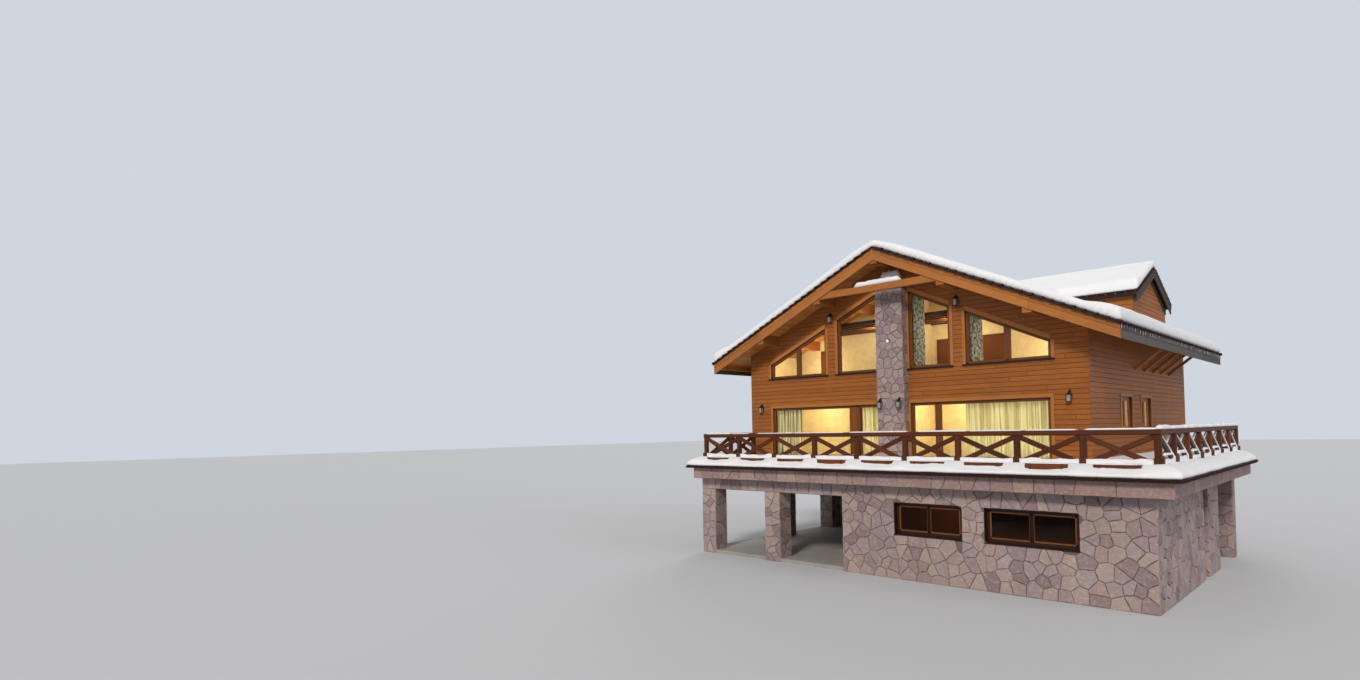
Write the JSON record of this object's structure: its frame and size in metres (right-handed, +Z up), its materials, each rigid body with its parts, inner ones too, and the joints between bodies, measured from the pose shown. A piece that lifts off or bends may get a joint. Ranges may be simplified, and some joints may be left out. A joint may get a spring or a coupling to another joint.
{
  "type": "alpine chalet",
  "caption": "Alpine chalet with timber storeys under a snow-covered gable roof, on a stone ground floor with a terrace.",
  "frame": {"origin": "the foot of the walls, straight below the middle of the timber gable front", "axes": "+X along the front to the right, +Y from the front to the back, +Z up"},
  "size_m": [18.648, 19.073, 12.44],
  "materials": {
    "stone": "irregular flagstone facing, matt, with dark joints",
    "concrete": "plain concrete, matt",
    "timber": "horizontal boards, honey-brown stain, satin",
    "roof_wood": "planed boards and beams, honey-brown stain",
    "red_wood": "red-brown stained beams, satin",
    "dark_wood": "dark brown varnish",
    "grey_wood": "weathered grey-brown boards",
    "tiles": "dark fired clay tiles, matt",
    "snow": "settled snow, matt and soft",
    "glass": "clear window glass",
    "iron": "black painted iron",
    "curtain": "cream woven curtain cloth"
  },
  "bodies": {
    "root": {"ground_floors": "concrete", "ground_front_wall": "stone", "ground_right_wall": "stone", "ground_side_wall": "stone", "ground_back_wall": "stone", "ground_left_wall": "stone", "loggia_side_wall": "stone", "loggia_back_wall": "stone", "loggia_pillars": "stone", "loggia_lintel": "stone", "wing_piers": "stone", "ground_window_frames": "dark_wood", "edge_beam": "stone", "terrace_deck": "concrete", "main_floor": "concrete", "terrace_ledge": "tiles", "terrace_snow": "snow", "front_railing": "red_wood", "right_railing": "red_wood", "end_railings": "red_wood", "planter_boxes": "red_wood", "front_wall_lower": "timber", "front_wall_upper": "timber", "right_wall": "timber", "left_wall": "timber", "back_wall": "timber", "pilaster": "stone", "upper_floor": "timber", "front_window_frames": "dark_wood", "side_window_frames": "dark_wood", "front_glass": "glass", "side_glass": "glass", "purlins": "roof_wood", "tie_beams": "roof_wood", "eave_struts": "roof_wood", "roof_right": "roof_wood", "roof_left": "roof_wood", "roof_tiles": "tiles", "bargeboards": "roof_wood", "eave_fascias": "grey_wood", "dormer_walls": "timber", "dormer_roofs": "tiles", "dormer_snow": "snow", "roof_snow": "snow", "wall_lanterns": "iron"}
  },
  "joints": []
}
